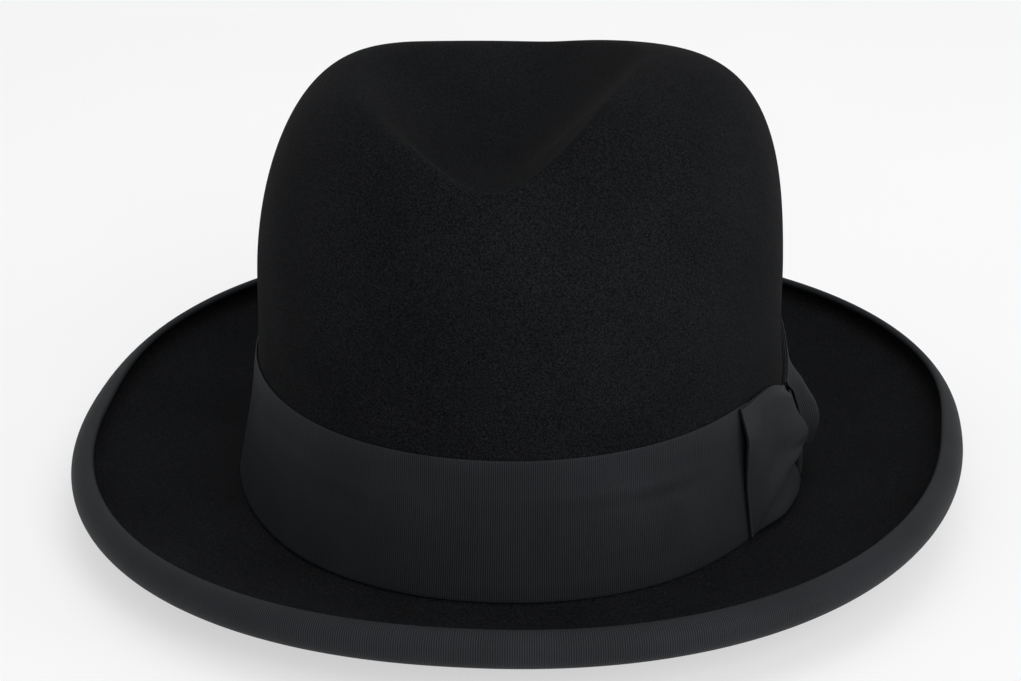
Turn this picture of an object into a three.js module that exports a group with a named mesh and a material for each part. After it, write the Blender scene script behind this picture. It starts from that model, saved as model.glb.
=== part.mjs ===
// Black felt homburg hat. Millimetres, +Z up, the front towards -Y, at rest on z = 0.
import * as THREE from 'three';

// Felt and ribbon
const FELT = 2.0;
const ROLLED_FELT = 1.75;
const RIBBON = 1.0;
const BAND_GAP = 0.3;
const BINDING_GAP = 0.25;

// Head: the felt's outer face where the band's lower edge sits
const HEAD_HALF_WIDTH = 86.9;
const HEAD_HALF_LENGTH = 102.2;
const HEAD_SQUARENESS = 2.05;
const HEAD_EGG = 0.017;
const HEAD_SIDE_RISE = 2.4;
const BAND_BOTTOM = 3.2;
const BAND_HEIGHT = 41;

// Crown, heights taken from the band's lower edge
const TAPER_HEIGHT = 55;
const TAPER_WIDTH = 6.75;
const TAPER_LENGTH = 5.2;
const WALL_HEIGHT = 62;
const CROWN_HEIGHT = 137.4;
const TIP_FLATNESS_SIDE = 5.0;
const TIP_FLATNESS_END = 4.8;
const SHOULDER_ROUNDNESS = 2.12;
const TIP_SWITCH = 0.82;
const CROWN_LEAN = 2.5;
const CROWN_SHIFT = 0.7;
const REAR_FALL = 0.25;
const REAR_FALL_BLEND = 16;

// Crease along the top of the crown; its stations are shares of the head's half length
const CREASE_DEPTH = 33.6;
const CREASE_FRONT_RISE = 12.3;
const CREASE_REAR_RISE = 25.7;
const CREASE_SLOPE = 1.42;
const CREASE_OPENING = 0.33;
const CREASE_ROUND = 14;
const CREASE_DRIFT = 6.2;
const CREASE_STATIONS = {
  frontLip: -0.86,
  frontFoot: -0.45,
  driftEnd: -0.39,
  rearFoot: -0.38,
  openEnd: 0,
  rearRim: 0.84,
};
const LIP_SHARP = 3;
const LIP_SOFT = 5.5;
const LIP_SOFT_REACH = 36;

// Brim and its rolled rim
const BRIM_SIDE_WIDTH = 49.6;
const BRIM_END_WIDTH = 55.6;
const RIM_SQUARENESS = 2.19;
const RIM_HEIGHT = 17.5;
const RIM_BACK_LIFT = 1.8;
const RIM_LEFT_LIFT = 0.56;
const RIM_SIDE_LIFT = 0.43;
const RIM_TWIST = 0.87;
const RIM_WAVE = 0.38;
const BREAK_REACH = 2.6;
const BREAK_LEAN = 0.2;
const FLAT_SHARE = 0.14;
const BRIM_END_SLOPE = THREE.MathUtils.degToRad(20);
const ROLL_TURN = THREE.MathUtils.degToRad(182);
const ROLL_SIDE_TURN = THREE.MathUtils.degToRad(8);
const ROLL_BACK_TURN = THREE.MathUtils.degToRad(140);
const ROLL_BACK_SPAN = [-0.15, 0.5];
const ROLL_CORE = 1.0;
const BINDING_START = THREE.MathUtils.degToRad(12);
const BINDING_HIDDEN_FRONT = THREE.MathUtils.degToRad(60);
const BINDING_HIDDEN_BACK = THREE.MathUtils.degToRad(14);

// Bow on the wearer's left, lengths along the band
const BOW_FORWARD = 11.5;
const BAND_DIP = 10;
const BAND_DIP_REACH = 44;
const LOOP_LENGTH = 40.5;
const LOOP_LIFT = 1.4;
const LOOP_EDGE_LIFT = 1.1;
const LOOP_MARGIN = 0.3;
const SWELL_SKEW = 0.8;
const PLEAT_COUNT = 3;
const PLEAT_DEPTH = 0.3;
const GATHER_SHARE = 0.35;
const GATHER_PEAK = 0.12;
const GATHER_END = 0.5;
const KEEPER_WIDTH = 6;
const KEEPER_MARGIN = 2;
const KEEPER_PUFF = 1.8;
// Heights at the gather are shares of the band's height, reaches are shares of the loop's length.
const LOOPS = {
  front: { side: -1, gatherLow: 0.28, gatherHigh: 0.8, lowReach: 0.9, highReach: 0.7, swell: 4.4 },
  rear: { side: 1, gatherLow: 0.21, gatherHigh: 0.8, lowReach: 0.7, highReach: 0.4, swell: 5.8 },
};

// Facets
const AZIMUTHS = 56;
const TIP_ROWS = 14;
const BRIM_ROWS = 4;
const ROLL_ROWS = 5;
const BINDING_OUTER_ROWS = 6;
const BINDING_WRAP_ROWS = 3;
const BINDING_INNER_ROWS = 3;
const BAND_ROWS = 3;
const LOOP_STATIONS = [0, GATHER_PEAK, 0.3, GATHER_END, 0.75, 1];
const LOOP_FOLD_STEPS = 3;
const LOOP_COLUMNS = 4;
const KEEPER_STEPS = 8;
const KEEPER_COLUMNS = 2;
const NUDGE = 1e-4;

const FELT_INNER_RADIUS = ROLL_CORE + RIBBON + BINDING_GAP;
const FELT_OUTER_RADIUS = FELT_INNER_RADIUS + ROLLED_FELT;
const RIM_RADIUS = FELT_OUTER_RADIUS + BINDING_GAP + RIBBON;
const ROLL_HALF_WIDTH = HEAD_HALF_WIDTH + BRIM_SIDE_WIDTH - RIM_RADIUS;
const ROLL_HALF_LENGTH = HEAD_HALF_LENGTH + BRIM_END_WIDTH - RIM_RADIUS;

function lerp(a, b, t) {
  return a + (b - a) * t;
}

function ease(x, from, to) {
  const t = Math.min(Math.max((x - from) / (to - from), 0), 1);
  return t * t * (3 - 2 * t);
}

function steps(count, from = 0, to = 1) {
  return Array.from({ length: count + 1 }, (_, i) => lerp(from, to, i / count));
}

// Oval in polar form; an egg factor makes the front narrower than the back.
function oval(theta, halfWidth, halfLength, squareness, egg = 0) {
  const across = Math.abs(Math.cos(theta) / halfWidth) ** squareness;
  const along = Math.abs(Math.sin(theta) / halfLength) ** squareness;
  const radius = (across + along) ** (-1 / squareness);
  const x = radius * Math.cos(theta) * (1 + egg * Math.sin(theta));
  return [x, radius * Math.sin(theta)];
}

// The head opening lies on the table at front and back and rises a little at the sides.
function sideRise(theta) {
  return HEAD_SIDE_RISE * ease(Math.cos(theta) ** 2, 0.2, 0.95);
}

// Outer face of the crown's wall at a height above the band's lower edge
function wallPoint(theta, height) {
  const taper = Math.sin(Math.min(height / TAPER_HEIGHT, 1) * Math.PI / 2);
  const [x, y] = oval(theta, HEAD_HALF_WIDTH - TAPER_WIDTH * taper,
    HEAD_HALF_LENGTH - TAPER_LENGTH * taper, HEAD_SQUARENESS, HEAD_EGG);
  const rise = sideRise(theta) * (1 - ease(height, 0, WALL_HEIGHT));
  return new THREE.Vector3(x - CROWN_SHIFT, y, BAND_BOTTOM + rise + height);
}

// Height of the crease's surface over a point of the crown
function creaseHeight(x, y) {
  const station = y / HEAD_HALF_LENGTH;
  const at = CREASE_STATIONS;
  const toFront = Math.max((at.frontFoot - station) / (at.frontFoot - at.frontLip), 0);
  const toRear = ease(station, at.rearFoot, at.rearRim);
  const floor = CROWN_HEIGHT - CREASE_DEPTH + CREASE_FRONT_RISE * toFront ** 2 + CREASE_REAR_RISE * toRear;
  const side = x + CREASE_DRIFT * (ease(station, at.frontLip, at.driftEnd) - toRear);
  const slope = CREASE_SLOPE * (1 - CREASE_OPENING * ease(station, at.frontLip, at.openEnd));
  return floor + slope * (Math.hypot(side, CREASE_ROUND) - CREASE_ROUND);
}

// The crease cuts the dome with a rounded lip, sharper on the wearer's left.
function creased(x, y, height) {
  const crease = creaseHeight(x, y);
  const lip = LIP_SHARP + LIP_SOFT * ease(-x, 0, LIP_SOFT_REACH);
  return 0.5 * (height + crease - Math.hypot(height - crease, lip));
}

// Shoulder and tip: t = 0 at the middle of the tip, 1 at the top of the wall
function tipPoint(theta, t) {
  const endShare = Math.sin(theta) ** 2;
  const flatness = lerp(TIP_FLATNESS_SIDE, TIP_FLATNESS_END, endShare);
  const switchHeight = (1 - TIP_SWITCH ** flatness) ** (1 / SHOULDER_ROUNDNESS);
  let reach = TIP_SWITCH * t / 0.5;
  let lift = (1 - Math.min(reach, 1) ** flatness) ** (1 / SHOULDER_ROUNDNESS);
  if (t > 0.5) {
    lift = switchHeight * (1 - t) / 0.5;
    reach = (1 - lift ** SHOULDER_ROUNDNESS) ** (1 / flatness);
  }
  const wall = wallPoint(theta, WALL_HEIGHT);
  const lean = CROWN_LEAN * ease(lift, 0.1, 1);
  const x = wall.x * reach + lean;
  const y = wall.y * reach;
  const fall = REAR_FALL * 0.5 * (y + Math.hypot(y, REAR_FALL_BLEND));
  const dome = WALL_HEIGHT + lift * (CROWN_HEIGHT - WALL_HEIGHT - fall);
  return new THREE.Vector3(x, y, BAND_BOTTOM + creased(x, y, dome));
}

// Small curve from the wall out onto the brim's upper face
function breakPoint(theta, t) {
  const wall = wallPoint(theta, 0);
  const radius = Math.hypot(wall.x, wall.y);
  const out = 2 * t * (1 - t) * BREAK_LEAN + t * t * BREAK_REACH;
  const drop = (BAND_BOTTOM - FELT) * (1 - (1 - t) ** 2);
  const grow = 1 + out / radius;
  return new THREE.Vector3(wall.x * grow, wall.y * grow, wall.z - drop);
}

// Centre line of the rolled rim, with its outward direction
function rollCentre(theta) {
  const rim = (angle) => oval(angle, ROLL_HALF_WIDTH, ROLL_HALF_LENGTH, RIM_SQUARENESS);
  const [x, y] = rim(theta);
  const [ahead, behind] = [rim(theta + NUDGE), rim(theta - NUDGE)];
  const out = new THREE.Vector2(ahead[1] - behind[1], behind[0] - ahead[0]).normalize();
  const lift = RIM_BACK_LIFT * Math.sin(theta) + RIM_LEFT_LIFT * Math.cos(theta);
  const wave = RIM_SIDE_LIFT * Math.cos(2 * theta) - RIM_TWIST * Math.sin(2 * theta)
    + RIM_WAVE * Math.cos(3 * theta);
  return { x, y, z: RIM_HEIGHT + lift + wave, out };
}

function toBack(theta) {
  return ease(Math.sin(theta), ...ROLL_BACK_SPAN);
}

// Angle that the rim is rolled through: closed at the front and sides, more open at the back
function rollTurn(theta) {
  return lerp(ROLL_TURN + ROLL_SIDE_TURN * Math.cos(theta) ** 2, ROLL_BACK_TURN, toBack(theta));
}

// A point of the roll by its turn from the lowest point and its radius from the centre line
function rollPoint(theta, turn, radius) {
  const centre = rollCentre(theta);
  const out = radius * Math.sin(turn);
  return new THREE.Vector3(centre.x + centre.out.x * out, centre.y + centre.out.y * out,
    centre.z - radius * Math.cos(turn));
}

// Upper face of the brim: level by the head, then rising to meet the roll
function brimPoint(theta, t) {
  const start = breakPoint(theta, 1);
  const end = rollPoint(theta, BRIM_END_SLOPE, FELT_INNER_RADIUS);
  const point = start.clone().lerp(end, t);
  const run = Math.hypot(end.x - start.x, end.y - start.y) * (1 - FLAT_SHARE);
  const climb = end.z - start.z;
  const slope = Math.tan(BRIM_END_SLOPE) * run;
  const u = Math.max(t - FLAT_SHARE, 0) / (1 - FLAT_SHARE);
  point.z = start.z + (3 * climb - slope) * u * u + (slope - 2 * climb) * u ** 3;
  return point;
}

function feltRollPoint(theta, t) {
  return rollPoint(theta, lerp(BRIM_END_SLOPE, rollTurn(theta), t), FELT_INNER_RADIUS);
}

// Outward normal of a surface given by azimuth and a share t of its own length
function normalOf(surface, theta, t) {
  const middle = Math.min(Math.max(t, 2 * NUDGE), 1 - 2 * NUDGE);
  const along = surface(theta, middle + NUDGE).sub(surface(theta, middle - NUDGE));
  const round = surface(theta + NUDGE, middle).sub(surface(theta - NUDGE, middle));
  return round.cross(along).normalize().negate();
}

function ringAngles() {
  return Array.from({ length: AZIMUTHS }, (_, i) => 2 * Math.PI * i / AZIMUTHS);
}

// One ring of points on a surface, and the ring a given distance behind it
function ringPair(surface, t, thickness) {
  const angles = ringAngles();
  const front = angles.map((theta) => surface(theta, t));
  const back = angles.map((theta, i) =>
    front[i].clone().addScaledVector(normalOf(surface, theta, t), -thickness));
  return { front, back };
}

// The single point at the middle of the tip, and the point below it inside the crown
function tipMiddle() {
  const front = tipPoint(0, 0);
  const near = 0.01;
  const across = tipPoint(0, near).sub(tipPoint(Math.PI, near));
  const along = tipPoint(Math.PI / 2, near).sub(tipPoint(-Math.PI / 2, near));
  const normal = across.cross(along).normalize();
  return { front: [front], back: [front.clone().addScaledVector(normal, -FELT)] };
}

// Closed body from triangles given as triples of points; turned inside out when wound inwards
function closedBody(triangles) {
  const volume = triangles.reduce((sum, [a, b, c]) => sum + a.dot(b.clone().cross(c)), 0);
  const positions = [];
  for (const [a, b, c] of triangles) {
    const order = volume > 0 ? [a, b, c] : [a, c, b];
    order.forEach((point) => positions.push(point.x, point.y, point.z));
  }
  const geometry = new THREE.BufferGeometry();
  geometry.setAttribute('position', new THREE.Float32BufferAttribute(positions, 3));
  geometry.computeVertexNormals();
  return geometry;
}

// Triangles between two neighbouring lines of points; a line of one point makes a fan
function strip(first, second, ring) {
  const count = Math.max(first.length, second.length);
  const triangles = [];
  const last = ring ? count : count - 1;
  const at = (line, i) => (line.length === 1 ? line[0] : line[i % count]);
  for (let i = 0; i < last; i += 1) {
    const [a, b] = [at(first, i), at(first, i + 1)];
    const [c, d] = [at(second, i), at(second, i + 1)];
    if (a !== b) {
      triangles.push([a, b, d]);
    }
    if (c !== d) {
      triangles.push([a, d, c]);
    }
  }
  return triangles;
}

// Sheet of cloth as a closed body: rows of {front, back} lines, open at the sides or a ring
function sheetBody(rows, ring) {
  const triangles = [];
  for (let i = 1; i < rows.length; i += 1) {
    triangles.push(...strip(rows[i - 1].front, rows[i].front, ring));
    triangles.push(...strip(rows[i].back, rows[i - 1].back, ring));
  }
  const [first, last] = [rows[0], rows[rows.length - 1]];
  if (first.front.length > 1) {
    triangles.push(...strip(first.back, first.front, ring));
  }
  triangles.push(...strip(last.front, last.back, ring));
  if (!ring) {
    const end = first.front.length - 1;
    const side = (index, key) => rows.map((row) => row[key][index]);
    triangles.push(...strip(side(0, 'front'), side(0, 'back'), false));
    triangles.push(...strip(side(end, 'back'), side(end, 'front'), false));
  }
  return closedBody(triangles);
}

// Crown and brim, pressed from one piece of felt
function feltBody() {
  const rows = [tipMiddle()];
  steps(TIP_ROWS).slice(1).forEach((t) => rows.push(ringPair(tipPoint, t, FELT)));
  const wall = (theta, t) => wallPoint(theta, BAND_HEIGHT * (1 - t));
  steps(BAND_ROWS).forEach((t) => rows.push(ringPair(wall, t, FELT)));
  rows.push(ringPair(breakPoint, 0.5, FELT));
  const brimShares = [0, ...steps(BRIM_ROWS, FLAT_SHARE, 1)];
  brimShares.forEach((t) => rows.push(ringPair(brimPoint, t, lerp(FELT, ROLLED_FELT, ease(t, FLAT_SHARE, 1)))));
  steps(ROLL_ROWS).slice(1).forEach((t) => rows.push(ringPair(feltRollPoint, t, ROLLED_FELT)));
  return sheetBody(rows, true);
}

// A point proud of the crown's wall by a distance along the wall's normal
function wallOffset(theta, height, proud) {
  const wall = (angle, t) => wallPoint(angle, BAND_HEIGHT * (1 - t));
  const normal = normalOf(wall, theta, 1 - height / BAND_HEIGHT);
  return wallPoint(theta, height).addScaledVector(normal, proud);
}

// Azimuth of a place on the band by its distance behind the bow's middle
function bowAngle(distance) {
  return (distance - BOW_FORWARD) / HEAD_HALF_WIDTH;
}

// The bow draws the band together, so its upper edge dips there.
function bandTop(theta) {
  const turn = Math.atan2(Math.sin(theta - bowAngle(0)), Math.cos(theta - bowAngle(0)));
  const distance = Math.abs(turn) * HEAD_HALF_WIDTH;
  return BAND_HEIGHT - BAND_DIP * (1 - ease(distance, 0, BAND_DIP_REACH));
}

// Ribbon round the crown
function hatband() {
  const rows = steps(BAND_ROWS, 1, 0).map((share) => ({
    front: ringAngles().map((theta) => wallOffset(theta, share * bandTop(theta), BAND_GAP + RIBBON)),
    back: ringAngles().map((theta) => wallOffset(theta, share * bandTop(theta), BAND_GAP)),
  }));
  return sheetBody(rows, true);
}

// Ribbon folded over the felt's rolled edge: outer face, turn over the edge, hidden inner face
function bindingRow(turnOf, radiusFront, radiusBack) {
  return {
    front: ringAngles().map((theta) => rollPoint(theta, turnOf(theta), radiusFront)),
    back: ringAngles().map((theta) => rollPoint(theta, turnOf(theta), radiusBack)),
  };
}

function bindingWrapRow(share) {
  const middle = (FELT_INNER_RADIUS + FELT_OUTER_RADIUS) / 2;
  const clear = ROLLED_FELT / 2 + BINDING_GAP;
  const turn = Math.PI * share;
  const place = (theta, radius) => {
    const radial = middle + radius * Math.cos(turn);
    const beyond = radius * Math.sin(turn);
    return rollPoint(theta, rollTurn(theta) + Math.atan2(beyond, radial), Math.hypot(radial, beyond));
  };
  return {
    front: ringAngles().map((theta) => place(theta, clear + RIBBON)),
    back: ringAngles().map((theta) => place(theta, clear)),
  };
}

function brimBinding() {
  const outer = steps(BINDING_OUTER_ROWS).map((t) =>
    bindingRow((theta) => lerp(BINDING_START, rollTurn(theta), t), RIM_RADIUS, RIM_RADIUS - RIBBON));
  const wrap = steps(BINDING_WRAP_ROWS).slice(1).map(bindingWrapRow);
  const inner = steps(BINDING_INNER_ROWS).slice(1).map((t) =>
    bindingRow((theta) => rollTurn(theta) - t * lerp(BINDING_HIDDEN_FRONT, BINDING_HIDDEN_BACK, toBack(theta)),
      ROLL_CORE, ROLL_CORE + RIBBON));
  return sheetBody([...outer, ...wrap, ...inner], true);
}

// Height along a loop of the bow, narrowed towards the gather
function loopHeight(loop, q, w) {
  const low = lerp(loop.gatherLow * BAND_HEIGHT, LOOP_MARGIN, ease(q, 0, loop.lowReach));
  const high = lerp(loop.gatherHigh * BAND_HEIGHT, BAND_HEIGHT - LOOP_MARGIN, ease(q, 0, loop.highReach));
  return lerp(low, high, w);
}

// How far the visible layer's middle stands over the hidden layer's middle
function loopLift(loop, q, w) {
  const belly = Math.sin(Math.PI * w ** SWELL_SKEW);
  const rise = lerp(GATHER_SHARE, 1, ease(q, 0, GATHER_PEAK));
  const gather = loop.swell * rise * (1 - ease(q, GATHER_PEAK, GATHER_END)) * belly;
  const edge = LOOP_EDGE_LIFT * ease(q, 0.6, 1) * belly;
  const pleats = PLEAT_DEPTH * (1 - ease(q, 0.1, 0.7)) * Math.cos(2 * Math.PI * PLEAT_COUNT * w);
  return LOOP_LIFT + gather + edge + pleats * belly;
}

// A loop of ribbon: hidden layer on the band, fold at the free edge, visible layer back to the gather
function bowLoop(loop) {
  const ground = BAND_GAP + RIBBON + BAND_GAP + RIBBON / 2;
  const start = KEEPER_WIDTH / 2 + BAND_GAP;
  const place = (q, w, proud) => {
    const theta = bowAngle(loop.side * (start + LOOP_LENGTH * q));
    return wallOffset(theta, loopHeight(loop, Math.min(q, 1), w), proud);
  };
  const columns = steps(LOOP_COLUMNS);
  const layerRow = (q, share, outward) => {
    const line = (extra) => columns.map((w) => place(q, w, ground + loopLift(loop, q, w) * share + extra));
    return { front: line(outward * RIBBON / 2), back: line(-outward * RIBBON / 2) };
  };
  const foldRow = (share) => {
    const turn = Math.PI * share;
    const line = (extra) => columns.map((w) => {
      const lift = loopLift(loop, 1, w);
      const radius = lift / 2 + extra;
      const q = 1 + radius * Math.sin(turn) / LOOP_LENGTH;
      return place(q, w, ground + lift / 2 - radius * Math.cos(turn));
    });
    return { front: line(RIBBON / 2), back: line(-RIBBON / 2) };
  };
  const rows = [
    ...LOOP_STATIONS.map((q) => layerRow(q, 0, -1)),
    ...steps(LOOP_FOLD_STEPS).slice(1, -1).map(foldRow),
    ...[...LOOP_STATIONS].reverse().map((q) => layerRow(q, 1, 1)),
  ];
  return sheetBody(rows, false);
}

// Narrow ribbon round the middle of the bow, between the loops
function bowKeeper() {
  const ground = BAND_GAP + RIBBON + BAND_GAP;
  const top = BAND_HEIGHT - BAND_DIP - KEEPER_MARGIN;
  const rows = steps(KEEPER_STEPS).map((t) => {
    const height = lerp(KEEPER_MARGIN, top, t);
    const puff = KEEPER_PUFF * Math.sin(Math.PI * t);
    const line = (thickness) => steps(KEEPER_COLUMNS, -KEEPER_WIDTH / 2, KEEPER_WIDTH / 2).map((across) =>
      wallOffset(bowAngle(across), height, ground + puff + thickness));
    return { front: line(RIBBON), back: line(0) };
  });
  return sheetBody(rows, false);
}

const felt = new THREE.MeshStandardMaterial({ name: 'black_felt', color: 0x131416, roughness: 0.95 });
const grosgrain = new THREE.MeshStandardMaterial({ name: 'black_grosgrain', color: 0x1d1f23, roughness: 0.6 });

const hat = new THREE.Group();
const pieces = [
  ['felt_body', feltBody(), felt],
  ['hatband', hatband(), grosgrain],
  ['brim_binding', brimBinding(), grosgrain],
  ['bow_front_loop', bowLoop(LOOPS.front), grosgrain],
  ['bow_rear_loop', bowLoop(LOOPS.rear), grosgrain],
  ['bow_keeper', bowKeeper(), grosgrain],
];
for (const [name, geometry, material] of pieces) {
  const mesh = new THREE.Mesh(geometry, material);
  mesh.name = name;
  hat.add(mesh);
}

export default hat;
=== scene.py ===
import math

import bpy
import numpy as np
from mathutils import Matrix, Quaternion, Vector


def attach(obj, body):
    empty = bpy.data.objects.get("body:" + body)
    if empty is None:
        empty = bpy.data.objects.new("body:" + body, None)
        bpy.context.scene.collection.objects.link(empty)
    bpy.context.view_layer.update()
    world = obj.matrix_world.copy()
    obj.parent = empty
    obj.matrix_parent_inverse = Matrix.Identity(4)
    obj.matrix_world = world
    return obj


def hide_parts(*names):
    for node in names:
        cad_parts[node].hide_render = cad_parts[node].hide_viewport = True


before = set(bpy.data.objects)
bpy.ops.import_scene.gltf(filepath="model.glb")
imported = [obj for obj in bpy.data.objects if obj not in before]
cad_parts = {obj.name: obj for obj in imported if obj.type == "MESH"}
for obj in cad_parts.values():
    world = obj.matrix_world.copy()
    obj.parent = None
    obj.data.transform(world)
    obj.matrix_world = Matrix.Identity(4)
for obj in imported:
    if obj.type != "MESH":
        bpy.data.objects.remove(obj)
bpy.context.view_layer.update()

# Black felt homburg hat. Shapes are worked out in millimetres, +Z up, the front towards -Y.
MM = 0.001

# Felt and ribbon
FELT = 2.0
ROLLED_FELT = 1.1
RIBBON = 0.5
BAND_GAP = 0.15
BINDING_GAP = 0.1

# Head: the felt's outer face where the band's lower edge sits
HEAD_HALF_WIDTH = 86.9
HEAD_HALF_LENGTH = 102.2
HEAD_SQUARENESS = 2.05
HEAD_EGG = 0.017
HEAD_SIDE_RISE = 2.4
BAND_BOTTOM = 3.2
BAND_HEIGHT = 41

# Crown, heights taken from the band's lower edge
TAPER_HEIGHT = 55
TAPER_WIDTH = 6.75
TAPER_LENGTH = 5.2
WALL_HEIGHT = 62
CROWN_HEIGHT = 137.4
TIP_FLATNESS_SIDE = 5.0
TIP_FLATNESS_END = 4.8
SHOULDER_ROUNDNESS = 2.12
TIP_SWITCH = 0.82
CROWN_LEAN = 2.5
CROWN_SHIFT = 0.7
REAR_FALL = 0.25
REAR_FALL_BLEND = 16

# Crease along the top of the crown; its stations are shares of the head's half length
CREASE_DEPTH = 33.6
CREASE_FRONT_RISE = 12.3
CREASE_REAR_RISE = 25.7
CREASE_SLOPE = 1.42
CREASE_OPENING = 0.33
CREASE_ROUND = 14
CREASE_DRIFT = 6.2
CREASE_OPEN_SPAN = (-0.86, 0)
CREASE_DRIFT_SPAN = (-0.86, -0.39)
CREASE_FRONT_SPAN = (-0.86, -0.45)
CREASE_REAR_SPAN = (-0.38, 0.84)
LIP_SHARP = 2
LIP_SOFT = 5.5
LIP_SOFT_REACH = 36

# Brim and its rolled rim
BRIM_SIDE_WIDTH = 49.6
BRIM_END_WIDTH = 55.6
RIM_SQUARENESS = 2.19
RIM_RADIUS = 5.25
RIM_HEIGHT = 17.5
RIM_BACK_LIFT = 1.8
RIM_LEFT_LIFT = 0.56
RIM_SIDE_LIFT = 0.43
RIM_TWIST = 0.87
RIM_WAVE = 0.38
BREAK_REACH = 2.6
BREAK_LEAN = 0.2
FLAT_SHARE = 0.14
BRIM_END_SLOPE = math.radians(20)
ROLL_TURN = math.radians(180)
ROLL_SIDE_TURN = math.radians(8)
ROLL_BACK_TURN = math.radians(140)
ROLL_BACK_SPAN = (-0.15, 0.5)
BINDING_START = math.radians(12)
BINDING_HIDDEN_FRONT = math.radians(60)
BINDING_HIDDEN_BACK = math.radians(14)

# Faint creases and slack places of the band: (azimuth in degrees, height, length, width, lift)
BAND_RIPPLES = [
    (-123, 27, 14, 2.2, 0.16), (-118, 22, 10, 1.6, -0.1), (-64, 29, 16, 2.0, 0.24),
    (-58, 25, 12, 1.7, -0.2), (-95, 38, 22, 3.0, 0.22), (-44, 36, 12, 4.0, 0.35),
    (-150, 36, 20, 4.0, 0.3), (-75, 4, 24, 3.0, 0.18), (40, 30, 16, 2.2, 0.25),
    (95, 26, 18, 2.4, 0.24), (110, 33, 15, 2.0, -0.2), (165, 28, 20, 2.4, 0.24),
]

# Bow on the wearer's left, lengths along the band
BOW_FORWARD = 11.5
BAND_DIP = 10
BAND_DIP_REACH = 44
LOOP_LENGTH = 40.5
LOOP_LIFT = 0.8
KEEPER_WIDTH = 6
KEEPER_MARGIN = 2
KEEPER_PUFF = 1.8
KEEPER_FLAT = 10.6
KEEPER_TURN = 0.75
# Edges of a loop's layers (under_low, upper_low, high): (share of the loop's length, height on the band).
# Swell near the gather and lift of the free edge (swell, edge): (height on the band, millimetres).
# flare: how far the lower edge of the under layer and of the upper layer stands off.
# gather_share: share of the swell that the gather leaves; peak: where the swell is full.
LOOPS = {
    "bow_front_loop": {
        "side": -1,
        "under_low": [(0, 8), (0.08, 4), (0.2, 1.2), (0.35, 0.5), (1, 0.6)],
        "upper_low": [(0, 17.5), (0.15, 15.5), (0.3, 12.5), (0.5, 9.5), (0.7, 6.5), (0.9, 3), (1, 0.6)],
        "high": [(0, 33), (0.1, 34.4), (0.25, 37), (0.45, 39.2), (0.7, 40.5), (1, 40.7)],
        "swell": [(0, 1.0), (5, 2.0), (10, 3.3), (13, 3.8), (15.6, 3.3), (18.4, 4.8), (21, 5.2),
                  (24, 4.3), (28, 3.0), (34, 2.0)],
        "edge": [(0, 0.1), (8, 0.3), (18, 0.7), (25, 1.6), (31, 2.2), (37, 1.0), (41, 0)],
        "flare": (2.7, 1.9),
        "gather_share": 0.3,
        "peak": 0.1,
    },
    "bow_rear_loop": {
        "side": 1,
        "under_low": [(0, 8), (0.1, 5), (0.3, 2.0), (0.6, 0.8), (1, 0.6)],
        "upper_low": [(0, 9.5), (0.12, 8), (0.3, 4.5), (0.6, 1.8), (1, 0.6)],
        "high": [(0, 31.8), (0.12, 32.4), (0.25, 33.6), (0.4, 35.4), (0.6, 38), (0.8, 40.1), (1, 40.7)],
        "swell": [(0, 1.5), (8, 3.2), (11, 5.2), (14, 7.0), (17, 7.8), (20, 7.6), (23, 6.8),
                  (26, 5.5), (30, 4.0), (34, 2.9), (38, 2.2)],
        "edge": [(0, 0.1), (10, 0.5), (24, 1.0), (34, 0.6), (41, 0)],
        "flare": (0.6, 0.6),
        "gather_share": 0.35,
        "peak": 0.13,
    },
}
GATHER_REACH = 0.5
EDGE_REACH = 0.32
FLARE_WIDTH = 8
FLARE_START_SPAN = (0, 0.12)
FLARE_END_SPAN = (0.55, 0.95)
PRESSED_WIDTH = 4
PRESSED_SHARE = 0.72
LAYER_GAP = 0.05
BOW_GROUND = BAND_GAP + RIBBON + LAYER_GAP + RIBBON / 2

FELT_OUTER_RADIUS = RIM_RADIUS - RIBBON - BINDING_GAP
FELT_INNER_RADIUS = FELT_OUTER_RADIUS - ROLLED_FELT
ROLL_HALF_WIDTH = HEAD_HALF_WIDTH + BRIM_SIDE_WIDTH - RIM_RADIUS
ROLL_HALF_LENGTH = HEAD_HALF_LENGTH + BRIM_END_WIDTH - RIM_RADIUS

# Colours, lengths in metres; WAVE_PERIOD is one period of the wave texture at scale 1
NAP_DARK = (0.0036, 0.0038, 0.0043)
NAP_LIGHT = (0.0132, 0.0138, 0.0150)
# The first rib colour is painted shade for the grooves between the ribs; the second is the ribbon's own
# colour on the rib tops
RIB_GROOVE_SHADE = (0.0100, 0.0110, 0.0126)
RIB_LIGHT = (0.0240, 0.0260, 0.0293)
RIB_PITCH = 0.00062
WAVE_PERIOD = math.pi / 10
FLOOR_DARK = (0.37, 0.37, 0.375)
FLOOR_LIGHT = (0.39, 0.39, 0.395)
FLOOR_GLOW = 0.58
FLOOR_HALF = 6.0
WORLD_LIGHT = 0.55

# Camera, in metres
CAMERA_PLACE = Vector((0.0798, -0.7225, 0.3162))
CAMERA_TARGET = Vector((-0.0038, -0.0004, 0.0429))
CAMERA_LENS = 87.97
CAMERA_ROLL = math.radians(0.22)

# Mesh fineness
AZIMUTHS = 288
FRONT_CROWDING = 0.4
BAND_COLUMNS = 45
BINDING_OUTER_COLUMNS = 31
BINDING_HIDDEN_COLUMNS = 11
FOLD_STEPS = 15
LOOP_ROWS = 71
LOOP_COLUMNS = 91
KEEPER_ROWS = 61
KEEPER_COLUMNS = 49
SELVEDGE_TURNS = np.radians([45, 90, 135])
NUDGE = 1e-4


def lerp(a, b, t):
    return a + (b - a) * t


def ease(x, start, end):
    t = np.clip((x - start) / (end - start), 0, 1)
    return t * t * (3 - 2 * t)


def points(x, y, z):
    return np.stack(np.broadcast_arrays(x, y, z), axis=-1)


def unit(vectors):
    return vectors / np.linalg.norm(vectors, axis=-1, keepdims=True)


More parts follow.
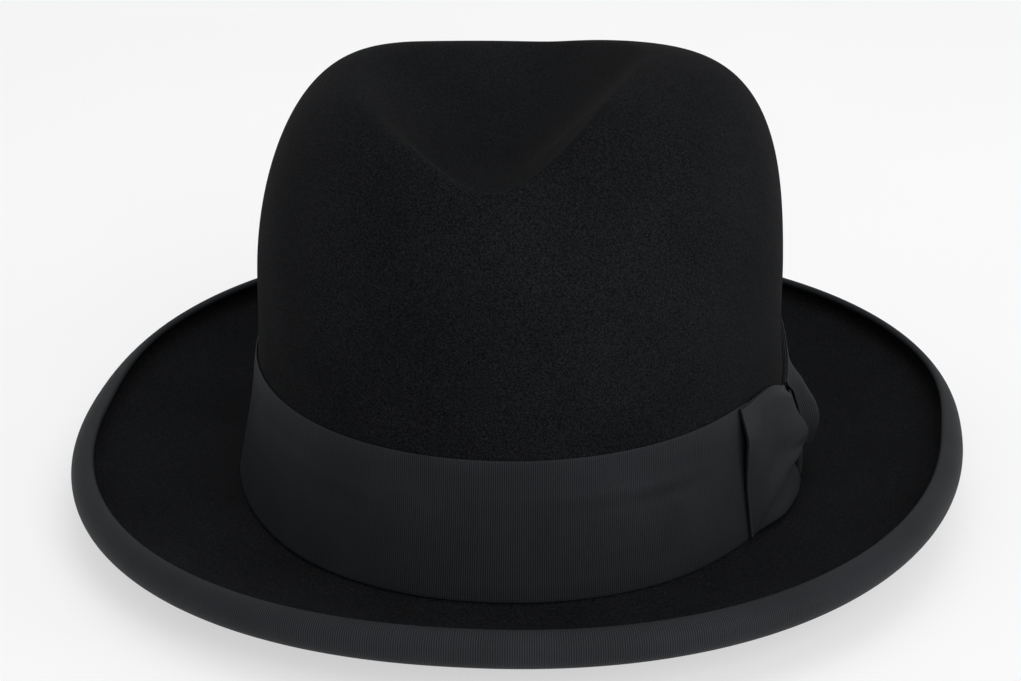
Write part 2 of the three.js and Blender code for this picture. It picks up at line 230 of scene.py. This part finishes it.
def table(x, pairs):
    """Smooth reading of a table of (place, value)"""
    places, values = np.array(pairs, dtype=float).T
    slopes = np.gradient(values, places)
    i = np.clip(np.searchsorted(places, x) - 1, 0, len(places) - 2)
    span = places[i + 1] - places[i]
    t = np.clip((x - places[i]) / span, 0, 1)
    start = values[i] * (1 + 2 * t) + slopes[i] * span * t
    end = values[i + 1] * (3 - 2 * t) - slopes[i + 1] * span * (1 - t)
    return start * (1 - t) ** 2 + end * t ** 2


def oval(theta, half_width, half_length, squareness, egg=0.0):
    across = np.abs(np.cos(theta) / half_width) ** squareness
    along = np.abs(np.sin(theta) / half_length) ** squareness
    radius = (across + along) ** (-1 / squareness)
    return radius * np.cos(theta) * (1 + egg * np.sin(theta)), radius * np.sin(theta)


def side_rise(theta):
    return HEAD_SIDE_RISE * ease(np.cos(theta) ** 2, 0.2, 0.95)


def wall(theta, height):
    """Outer face of the crown's wall at a height above the band's lower edge"""
    taper = np.sin(np.minimum(height / TAPER_HEIGHT, 1) * np.pi / 2)
    half_width = HEAD_HALF_WIDTH - TAPER_WIDTH * taper
    half_length = HEAD_HALF_LENGTH - TAPER_LENGTH * taper
    x, y = oval(theta, half_width, half_length, HEAD_SQUARENESS, HEAD_EGG)
    rise = side_rise(theta) * (1 - ease(height, 0, WALL_HEIGHT))
    return points(x - CROWN_SHIFT, y, BAND_BOTTOM + rise + height)


def crease_height(x, y):
    station = y / HEAD_HALF_LENGTH
    to_rear = ease(station, *CREASE_REAR_SPAN)
    side = x + CREASE_DRIFT * (ease(station, *CREASE_DRIFT_SPAN) - to_rear)
    lip_place, rise_start = CREASE_FRONT_SPAN
    front = CREASE_FRONT_RISE * np.maximum((rise_start - station) / (rise_start - lip_place), 0) ** 2
    rear = CREASE_REAR_RISE * to_rear
    floor = CROWN_HEIGHT - CREASE_DEPTH + front + rear
    slope = CREASE_SLOPE * (1 - CREASE_OPENING * ease(station, *CREASE_OPEN_SPAN))
    return floor + slope * (np.hypot(side, CREASE_ROUND) - CREASE_ROUND)


def creased(x, y, height):
    """The crease cuts the dome with a rounded lip, sharper on the wearer's left."""
    crease = crease_height(x, y)
    lip = LIP_SHARP + LIP_SOFT * ease(-x, 0, LIP_SOFT_REACH)
    return 0.5 * (height + crease - np.hypot(height - crease, lip))


def tip(theta, t):
    """Shoulder and tip: t = 0 at the middle of the tip, 1 at the top of the wall"""
    flatness = lerp(TIP_FLATNESS_SIDE, TIP_FLATNESS_END, np.sin(theta) ** 2)
    switch_height = (1 - TIP_SWITCH ** flatness) ** (1 / SHOULDER_ROUNDNESS)
    inner_reach = TIP_SWITCH * np.minimum(t, 0.5) / 0.5
    inner_lift = (1 - inner_reach ** flatness) ** (1 / SHOULDER_ROUNDNESS)
    outer_lift = switch_height * np.clip(1 - t, 0, 0.5) / 0.5
    outer_reach = (1 - outer_lift ** SHOULDER_ROUNDNESS) ** (1 / flatness)
    reach = np.where(t > 0.5, outer_reach, inner_reach)
    lift = np.where(t > 0.5, outer_lift, inner_lift)
    top = wall(theta, WALL_HEIGHT)
    x = top[..., 0] * reach + CROWN_LEAN * ease(lift, 0.1, 1)
    y = top[..., 1] * reach
    fall = REAR_FALL * 0.5 * (y + np.hypot(y, REAR_FALL_BLEND))
    dome = WALL_HEIGHT + lift * (CROWN_HEIGHT - WALL_HEIGHT - fall)
    return points(x, y, BAND_BOTTOM + creased(x, y, dome))


def crown_wall(theta, t):
    return wall(theta, WALL_HEIGHT * (1 - t))


def brim_break(theta, t):
    """Small curve from the wall out onto the brim's upper face"""
    foot = wall(theta, 0)
    radius = np.hypot(foot[..., 0], foot[..., 1])
    out = 2 * t * (1 - t) * BREAK_LEAN + t * t * BREAK_REACH
    drop = (BAND_BOTTOM - FELT) * (1 - (1 - t) ** 2)
    grow = 1 + out / radius
    return points(foot[..., 0] * grow, foot[..., 1] * grow, foot[..., 2] - drop)


def roll_centre(theta):
    """Centre line of the rolled rim and its outward direction"""
    x, y = oval(theta, ROLL_HALF_WIDTH, ROLL_HALF_LENGTH, RIM_SQUARENESS)
    x_ahead, y_ahead = oval(theta + NUDGE, ROLL_HALF_WIDTH, ROLL_HALF_LENGTH, RIM_SQUARENESS)
    x_behind, y_behind = oval(theta - NUDGE, ROLL_HALF_WIDTH, ROLL_HALF_LENGTH, RIM_SQUARENESS)
    lift = RIM_BACK_LIFT * np.sin(theta) + RIM_LEFT_LIFT * np.cos(theta)
    wave = RIM_SIDE_LIFT * np.cos(2 * theta) - RIM_TWIST * np.sin(2 * theta) + RIM_WAVE * np.cos(3 * theta)
    away = unit(points(y_ahead - y_behind, x_behind - x_ahead, 0 * x))
    return points(x, y, RIM_HEIGHT + lift + wave), away


def to_back(theta):
    return ease(np.sin(theta), *ROLL_BACK_SPAN)


def roll_turn(theta):
    """Angle that the rim is rolled through: closed at the front and sides, more open at the back"""
    return lerp(ROLL_TURN + ROLL_SIDE_TURN * np.cos(theta) ** 2, ROLL_BACK_TURN, to_back(theta))


def roll_place(theta, out, up):
    """A point beside the rim's centre line"""
    centre, away = roll_centre(theta)
    return centre + away * np.asarray(out)[..., None] + points(0, 0, up)


def roll(theta, turn, radius):
    return roll_place(theta, radius * np.sin(turn), -radius * np.cos(turn))


def brim(theta, t):
    """Upper face of the brim: level by the head, then rising to meet the roll"""
    start = brim_break(theta, 1)
    end = roll(theta, BRIM_END_SLOPE, FELT_INNER_RADIUS)
    level = lerp(start, end, np.asarray(t)[..., None])
    run = np.hypot(end[..., 0] - start[..., 0], end[..., 1] - start[..., 1]) * (1 - FLAT_SHARE)
    climb = end[..., 2] - start[..., 2]
    slope = math.tan(BRIM_END_SLOPE) * run
    u = np.maximum(t - FLAT_SHARE, 0) / (1 - FLAT_SHARE)
    height = start[..., 2] + (3 * climb - slope) * u * u + (slope - 2 * climb) * u ** 3
    return points(level[..., 0], level[..., 1], height)


def felt_roll(theta, t):
    return roll(theta, lerp(BRIM_END_SLOPE, roll_turn(theta), t), FELT_INNER_RADIUS)


def outward(surface, theta, t):
    """Outward normal of a surface given by azimuth and a share t of its own length"""
    middle = np.clip(t, 2 * NUDGE, 1 - 2 * NUDGE)
    along = surface(theta, middle + NUDGE) - surface(theta, middle - NUDGE)
    round_ = surface(theta + NUDGE, middle) - surface(theta - NUDGE, middle)
    return -unit(np.cross(round_, along))


def on_wall(theta, height, proud):
    """A point proud of the crown's wall by a distance along the wall's normal"""
    normal = outward(crown_wall, theta, 1 - height / WALL_HEIGHT)
    return wall(theta, height) + normal * np.asarray(proud)[..., None]


def bow_angle(distance):
    """Azimuth of a place on the band by its distance behind the bow's middle"""
    return (distance - BOW_FORWARD) / HEAD_HALF_WIDTH


def band_top(theta):
    """The bow draws the band together, so its upper edge dips there."""
    turn = np.angle(np.exp(1j * (theta - bow_angle(0))))
    distance = np.abs(turn) * HEAD_HALF_WIDTH
    return BAND_HEIGHT - BAND_DIP * (1 - ease(distance, 0, BAND_DIP_REACH))


def ring_angles():
    """Azimuths round the hat, closer together at the front"""
    phase = np.linspace(0, 2 * np.pi, AZIMUTHS, endpoint=False)
    return phase - np.pi / 2 - FRONT_CROWDING * np.sin(phase)


def new_object(name, vertices, faces, material, uvs=None):
    mesh = bpy.data.meshes.new(name)
    mesh.from_pydata((vertices * MM).tolist(), [], faces)
    mesh.polygons.foreach_set("use_smooth", [True] * len(mesh.polygons))
    if uvs is not None:
        layer = mesh.uv_layers.new(name="ribbon")
        layer.data.foreach_set("uv", (uvs * MM).ravel())
    mesh.materials.append(material)
    mesh.update()
    obj = bpy.data.objects.new(name, mesh)
    bpy.context.scene.collection.objects.link(obj)
    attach(obj, "root")
    return obj


def grid_corners(rows, columns, wrap_rows, wrap_columns):
    """Row and column of each corner of a grid's faces; past a wrapped side they run on by one"""
    last_row = rows if wrap_rows else rows - 1
    last_column = columns if wrap_columns else columns - 1
    i, j = np.meshgrid(np.arange(last_row), np.arange(last_column), indexing="ij")
    row = np.stack([i, i, i + 1, i + 1], axis=-1).reshape(-1, 4)
    column = np.stack([j, j + 1, j + 1, j], axis=-1).reshape(-1, 4)
    return row, column


def felt_hat(material):
    """Crown and brim, pressed from one piece of felt: the outer face, then the inner face back to the tip"""
    theta = ring_angles()[None, :]
    # Each surface with its rows on the outer and the inner face and its felt's thickness
    parts = [
        (tip, 110, 44, lambda t: FELT + 0 * t),
        (crown_wall, 26, 12, lambda t: FELT + 0 * t),
        (brim_break, 8, 6, lambda t: FELT + 0 * t),
        (brim, 40, 18, lambda t: lerp(FELT, ROLLED_FELT, ease(t, FLAT_SHARE, 1))),
        (felt_roll, 16, 14, lambda t: ROLLED_FELT + 0 * t),
    ]
    outer, inner = [], []
    for surface, outer_rows, inner_rows, thickness in parts:
        t = np.linspace(0, 1, outer_rows + 1)[1:, None]
        outer.append(surface(theta, t))
        t = np.linspace(0, 1, inner_rows + 1)[1:, None]
        inner.append(surface(theta, t) - outward(surface, theta, t) * thickness(t)[..., None])
    rows = np.concatenate(outer + [np.concatenate(inner)[::-1]])
    middle = tip(np.zeros(1), np.zeros(1))
    count = len(rows) * AZIMUTHS
    vertices = np.concatenate([rows.reshape(-1, 3), middle, middle - [[0, 0, FELT]]])
    row, column = grid_corners(len(rows), AZIMUTHS, False, True)
    faces = (row * AZIMUTHS + column % AZIMUTHS).tolist()
    for j in range(AZIMUTHS):
        k = (j + 1) % AZIMUTHS
        faces.append([count, k, j])
        faces.append([count + 1, count - AZIMUTHS + j, count - AZIMUTHS + k])
    obj = new_object("felt_body_visual", vertices, faces, material)
    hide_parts("felt_body")
    return obj


def ribbon(name, centre, ring, material):
    """Ribbon of rounded selvedges from a grid of points along and across its middle.
    Returns the object and the ribbon's flat width and length in metres."""
    along_count, across_count = centre.shape[:2]
    if ring:
        along = np.roll(centre, -1, axis=0) - np.roll(centre, 1, axis=0)
    else:
        along = np.gradient(centre, axis=0)
    across = np.gradient(centre, axis=1)
    normal = unit(np.cross(along, across))
    edge_first = unit(-across[:, :1])
    edge_last = unit(across[:, -1:])
    cap = SELVEDGE_TURNS[None, :, None]
    radius = RIBBON / 2
    section = np.concatenate([
        centre + radius * normal,
        centre[:, -1:] + radius * (np.cos(cap) * normal[:, -1:] + np.sin(cap) * edge_last),
        (centre - radius * normal)[:, ::-1],
        centre[:, :1] + radius * (-np.cos(cap) * normal[:, :1] + np.sin(cap) * edge_first),
    ], axis=1)
    step = np.linalg.norm(np.roll(centre, -1, axis=0) - centre, axis=-1).mean(axis=1)
    u = np.concatenate([[0], np.cumsum(step if ring else step[:-1])])
    width_step = np.linalg.norm(np.diff(centre, axis=1), axis=-1).mean(axis=0)
    v = np.concatenate([[0], np.cumsum(width_step)])
    cap_count = len(SELVEDGE_TURNS)
    v_section = np.concatenate([v, [v[-1]] * cap_count, v[::-1], [0] * (cap_count + 1)])
    columns = section.shape[1]
    row, column = grid_corners(along_count, columns, ring, True)
    faces = ((row % along_count) * columns + column % columns).tolist()
    uvs = np.stack([u[row], v_section[column]], axis=-1).reshape(-1, 2)
    if not ring:
        first, second = np.arange(across_count - 1), np.arange(1, across_count)
        back = 2 * across_count + cap_count - 1
        end = np.stack([first, back - first, back - second, second], axis=-1)
        closing = np.concatenate([end, (along_count - 1) * columns + end[:, ::-1]])
        faces += closing.tolist()
        end_v = v[np.minimum(closing % columns, back - closing % columns)]
        end_u = np.where(closing < columns, u[0], u[-1])
        uvs = np.concatenate([uvs, np.stack([end_u, end_v], axis=-1).reshape(-1, 2)])
    obj = new_object(name, section.reshape(-1, 3), faces, material, uvs)
    return obj, (v[-1] * MM, u[-1] * MM)


def ripple(s, h, waves):
    """Sum of small bumps, each (place along, height, length, width, lift)"""
    total = 0
    for place, height, length, width, lift in waves:
        total = total + lift * np.exp(-((s - place) / length) ** 2 - ((h - height) / width) ** 2)
    return total


def hatband(material):
    theta = ring_angles()[:, None]
    share = np.linspace(0, 1, BAND_COLUMNS)[None, :]
    height = lerp(RIBBON / 2, band_top(theta) - RIBBON / 2, share)
    degrees = np.degrees(np.angle(np.exp(1j * theta)))
    slack = ripple(degrees, height, BAND_RIPPLES)
    proud = BAND_GAP + RIBBON / 2 + slack
    obj, flat = ribbon("hatband_visual", on_wall(theta, height, proud), True, material)
    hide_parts("hatband")
    return obj


def brim_binding(material):
    """Ribbon folded over the felt's rolled edge: outer face, turn over the edge, hidden inner face"""
    theta = ring_angles()[:, None]
    outer_radius = RIM_RADIUS - RIBBON / 2
    middle = (FELT_INNER_RADIUS + FELT_OUTER_RADIUS) / 2
    wrap_radius = outer_radius - middle
    end = roll_turn(theta)
    turn = lerp(BINDING_START, end, np.linspace(0, 1, BINDING_OUTER_COLUMNS)[None, :])
    outer = (outer_radius * np.sin(turn), -outer_radius * np.cos(turn))
    turn = np.linspace(0, np.pi, FOLD_STEPS)[None, 1:-1]
    radial = middle + wrap_radius * np.cos(turn)
    beyond = wrap_radius * np.sin(turn)
    wrap = (radial * np.sin(end) + beyond * np.cos(end), -radial * np.cos(end) + beyond * np.sin(end))
    hidden_turn = lerp(BINDING_HIDDEN_FRONT, BINDING_HIDDEN_BACK, to_back(theta))
    turn = end - hidden_turn * np.linspace(0, 1, BINDING_HIDDEN_COLUMNS)[None, :]
    hidden_radius = middle - wrap_radius
    hidden = (hidden_radius * np.sin(turn), -hidden_radius * np.cos(turn))
    out = np.concatenate([outer[0], wrap[0], hidden[0]], axis=1)
    up = np.concatenate([outer[1], wrap[1], hidden[1]], axis=1)
    obj, flat = ribbon("brim_binding_visual", roll_place(theta, out, up), True, material)
    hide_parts("brim_binding")
    return obj


def loop_surface(loop, q, w, layer):
    """Middle of a loop's ribbon at a share q from the gather and w across; layer is 0 below, 1 on top"""
    low = lerp(table(q, loop["under_low"]), table(q, loop["upper_low"]), layer)
    high = table(q, loop["high"])
    height = lerp(low + RIBBON / 2, high - RIBBON / 2, w)
    free = ease(high - height, 0, PRESSED_WIDTH)
    lift = LOOP_LIFT * lerp(PRESSED_SHARE, 1, np.maximum(free, ease(q, 1 - EDGE_REACH, 1)))
    rise = lerp(loop["gather_share"], 1, ease(q, 0, loop["peak"])) * free
    swell = table(height, loop["swell"]) * rise * (1 - ease(q, loop["peak"], GATHER_REACH))
    raised = table(height, loop["edge"]) * ease(q, 1 - EDGE_REACH, 1)
    lower_edge = 1 - ease(height - low, 0, FLARE_WIDTH)
    flared = ease(q, *FLARE_START_SPAN) * (1 - ease(q, *FLARE_END_SPAN))
    flare = lerp(*loop["flare"], layer) * (lower_edge * flared)
    start = KEEPER_WIDTH / 2 + BAND_GAP
    distance = loop["side"] * (start + LOOP_LENGTH * q)
    return distance, height, BOW_GROUND + raised + flare + layer * (lift + swell)


def bow_loop(name, material):
    """A loop of ribbon: hidden layer on the band, fold at the free edge, visible layer back to the gather"""
    loop = LOOPS[name]
    w = np.linspace(0, 1, LOOP_COLUMNS)[None, :]
    q = np.linspace(0, 1, LOOP_ROWS)[:, None]
    distance, height, proud = loop_surface(loop, q, w, 0)
    below = on_wall(bow_angle(distance), height, proud)
    distance, height, proud = loop_surface(loop, q[::-1], w, 1)
    above = on_wall(bow_angle(distance), height, proud)
    turn = np.linspace(0, np.pi, FOLD_STEPS)[1:-1, None]
    distance, height, proud = loop_surface(loop, np.ones((1, 1)), w, 0)
    fold_out = loop["side"] * LOOP_LIFT / 2 * np.sin(turn)
    fold_up = LOOP_LIFT / 2 * (1 - np.cos(turn))
    fold = on_wall(bow_angle(distance + fold_out), height + 0 * turn, proud + fold_up)
    centre = np.concatenate([below, fold, above])
    if loop["side"] > 0:
        centre = centre[:, ::-1]
    obj, flat = ribbon(name + "_visual", centre, False, material)
    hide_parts(name)
    return obj


def keeper_section(across):
    """Middle of the keeper's ribbon by its place across: flat top, turned under at both edges"""
    place = np.abs(across)
    flat = KEEPER_WIDTH / 2 - RIBBON / 2 - KEEPER_TURN
    turn = np.clip((place - flat) / KEEPER_TURN, 0, np.pi)
    under = np.maximum(place - flat - np.pi * KEEPER_TURN, 0)
    side = np.minimum(place, flat) + KEEPER_TURN * np.sin(turn) - under
    return np.sign(across) * side, KEEPER_TURN * (1 + np.cos(turn))


def bow_keeper(material):
    """Narrow ribbon round the middle of the bow, its edges tucked under"""
    t = np.linspace(0, 1, KEEPER_ROWS)[:, None]
    height = lerp(KEEPER_MARGIN, BAND_HEIGHT - BAND_DIP - KEEPER_MARGIN, t)
    side, lift = keeper_section(np.linspace(-1, 1, KEEPER_COLUMNS)[None, :] * KEEPER_FLAT / 2)
    proud = BOW_GROUND + lift + KEEPER_PUFF * np.sin(np.pi * t)
    centre = on_wall(bow_angle(side + 0 * t), height + 0 * side, proud)
    obj, flat = ribbon("bow_keeper_visual", centre[:, ::-1], False, material)
    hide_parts("bow_keeper")
    return obj


def new_material(name):
    material = bpy.data.materials.new(name)
    material.use_nodes = True
    nodes, links = material.node_tree.nodes, material.node_tree.links
    return material, nodes, links, nodes["Principled BSDF"]


def noise(nodes, links, vector, scale, detail):
    node = nodes.new("ShaderNodeTexNoise")
    node.inputs["Scale"].default_value = scale
    node.inputs["Detail"].default_value = detail
    links.new(vector, node.inputs["Vector"])
    return node.outputs["Fac"]


def ramp(nodes, links, factor, stops):
    node = nodes.new("ShaderNodeValToRGB")
    elements = node.color_ramp.elements
    for element, (place, colour) in zip(elements, stops):
        element.position = place
        element.color = (*colour, 1)
    links.new(factor, node.inputs["Fac"])
    return node.outputs["Color"]


def bump(nodes, links, height, strength, distance, normal=None):
    node = nodes.new("ShaderNodeBump")
    node.inputs["Strength"].default_value = strength
    node.inputs["Distance"].default_value = distance
    links.new(height, node.inputs["Height"])
    if normal is not None:
        links.new(normal, node.inputs["Normal"])
    return node.outputs["Normal"]


def uneven(nodes, links, colour, factor, span, change):
    """The colour made darker and lighter by a share where a factor is low and high"""
    low, high = [(place, (share,) * 3) for place, share in zip(span, (1 - change, 1 + change))]
    node = nodes.new("ShaderNodeMix")
    node.data_type = "RGBA"
    node.blend_type = "MULTIPLY"
    node.inputs["Factor"].default_value = 1
    links.new(colour, node.inputs["A"])
    links.new(ramp(nodes, links, factor, [low, high]), node.inputs["B"])
    return node.outputs["Result"]


def cloth_surface(shader, roughness, specular, sheen, sheen_roughness):
    shader.inputs["Roughness"].default_value = roughness
    shader.inputs["Specular IOR Level"].default_value = specular
    shader.inputs["Sheen Weight"].default_value = sheen
    shader.inputs["Sheen Roughness"].default_value = sheen_roughness


def felt_material():
    """Short black nap: fine fibre grain, tufts, faint mottling and brushed places"""
    material, nodes, links, shader = new_material("black_felt_nap")
    place = nodes.new("ShaderNodeTexCoord").outputs["Object"]
    grain = noise(nodes, links, place, scale=2300, detail=3)
    mottle = noise(nodes, links, place, scale=600, detail=4)
    tuft = noise(nodes, links, place, scale=1350, detail=2)
    cloud = noise(nodes, links, place, scale=28, detail=3)
    colour = ramp(nodes, links, grain, [(0.36, NAP_DARK), (0.66, NAP_LIGHT)])
    colour = uneven(nodes, links, colour, cloud, span=(0.3, 0.7), change=0.15)
    colour = uneven(nodes, links, colour, tuft, span=(0.36, 0.64), change=0.17)
    links.new(colour, shader.inputs["Base Color"])
    cloth_surface(shader, roughness=0.95, specular=0.02, sheen=0.012, sheen_roughness=0.35)
    relief = bump(nodes, links, mottle, 0.25, 0.0006)
    relief = bump(nodes, links, grain, 0.6, 0.0003, relief)
    links.new(relief, shader.inputs["Normal"])
    return material


def grosgrain_material():
    """Black grosgrain: fine ribs across the ribbon, with painted shade in the grooves between the ribs"""
    material, nodes, links, shader = new_material("black_grosgrain_ribbed")
    place = nodes.new("ShaderNodeTexCoord")
    ribs = nodes.new("ShaderNodeTexWave")
    ribs.wave_type = "BANDS"
    ribs.bands_direction = "X"
    ribs.inputs["Scale"].default_value = WAVE_PERIOD / RIB_PITCH
    links.new(place.outputs["UV"], ribs.inputs["Vector"])
    cloud = noise(nodes, links, place.outputs["Object"], scale=45, detail=3)
    thread = noise(nodes, links, place.outputs["UV"], scale=2600, detail=2)
    # Colour runs from painted groove shade between the ribs to the ribbon's own colour on the ribs
    colour = ramp(nodes, links, ribs.outputs["Fac"], [(0.1, RIB_GROOVE_SHADE), (0.7, RIB_LIGHT)])
    colour = uneven(nodes, links, colour, cloud, span=(0.3, 0.7), change=0.12)
    links.new(colour, shader.inputs["Base Color"])
    cloth_surface(shader, roughness=0.6, specular=0.07, sheen=0.015, sheen_roughness=0.4)
    relief = bump(nodes, links, thread, 0.15, 0.0001)
    relief = bump(nodes, links, ribs.outputs["Fac"], 0.8, 0.0001, relief)
    links.new(relief, shader.inputs["Normal"])
    return material


def floor_material():
    material, nodes, links, shader = new_material("pale_floor")
    place = nodes.new("ShaderNodeTexCoord").outputs["Object"]
    cloud = noise(nodes, links, place, scale=3, detail=2)
    colour = ramp(nodes, links, cloud, [(0.3, FLOOR_DARK), (0.7, FLOOR_LIGHT)])
    links.new(colour, shader.inputs["Base Color"])
    shader.inputs["Roughness"].default_value = 0.7
    shader.inputs["Specular IOR Level"].default_value = 0.1
    shader.inputs["Emission Color"].default_value = (1.0, 1.0, 1.0, 1)
    shader.inputs["Emission Strength"].default_value = FLOOR_GLOW
    return material


felt = felt_material()
grosgrain = grosgrain_material()
felt_hat(felt)
hatband(grosgrain)
brim_binding(grosgrain)
bow_loop("bow_front_loop", grosgrain)
bow_loop("bow_rear_loop", grosgrain)
bow_keeper(grosgrain)

# Floor
floor_mesh = bpy.data.meshes.new("floor")
floor_corners = [(x * FLOOR_HALF, y * FLOOR_HALF, 0) for x, y in ((-1, -1), (1, -1), (1, 1), (-1, 1))]
floor_mesh.from_pydata(floor_corners, [], [(0, 1, 2, 3)])
floor_mesh.materials.append(floor_material())
floor = bpy.data.objects.new("floor", floor_mesh)
bpy.context.scene.collection.objects.link(floor)

# Soft light of a white studio, a little stronger from the front right above
world = bpy.data.worlds.new("studio")
bpy.context.scene.world = world
world.use_nodes = True
background = world.node_tree.nodes["Background"]
background.inputs["Color"].default_value = (1.0, 1.0, 1.0, 1)
background.inputs["Strength"].default_value = WORLD_LIGHT


def area_light(name, location, target, size, power):
    data = bpy.data.lights.new(name, "AREA")
    data.shape = "SQUARE"
    data.size = size
    data.energy = power
    light = bpy.data.objects.new(name, data)
    light.location = location
    light.rotation_mode = "QUATERNION"
    light.rotation_quaternion = (Vector(target) - Vector(location)).to_track_quat("-Z", "Y")
    bpy.context.scene.collection.objects.link(light)


area_light("key", location=(1.0, -1.7, 1.4), target=(0, 0, 0.05), size=1.2, power=18)
area_light("back", location=(0.2, 1.4, 2.2), target=(0, 0.4, 0), size=2.0, power=9)
area_light("top", location=(0.1, -0.1, 1.6), target=(0, 0, 0.1), size=0.9, power=3.4)
area_light("side", location=(1.8, -0.4, 0.4), target=(0, 0, 0.05), size=0.8, power=7.5)

camera_data = bpy.data.cameras.new("camera")
camera_data.lens = CAMERA_LENS
camera_data.sensor_width = 36
camera_data.sensor_fit = "HORIZONTAL"
camera_data.clip_start = 0.01
camera = bpy.data.objects.new("camera", camera_data)
camera.location = CAMERA_PLACE
camera.rotation_mode = "QUATERNION"
aim = (CAMERA_TARGET - CAMERA_PLACE).to_track_quat("-Z", "Y")
camera.rotation_quaternion = aim @ Quaternion((0, 0, 1), CAMERA_ROLL)
bpy.context.scene.collection.objects.link(camera)
bpy.context.scene.camera = camera
bpy.context.scene.view_settings.view_transform = "Standard"
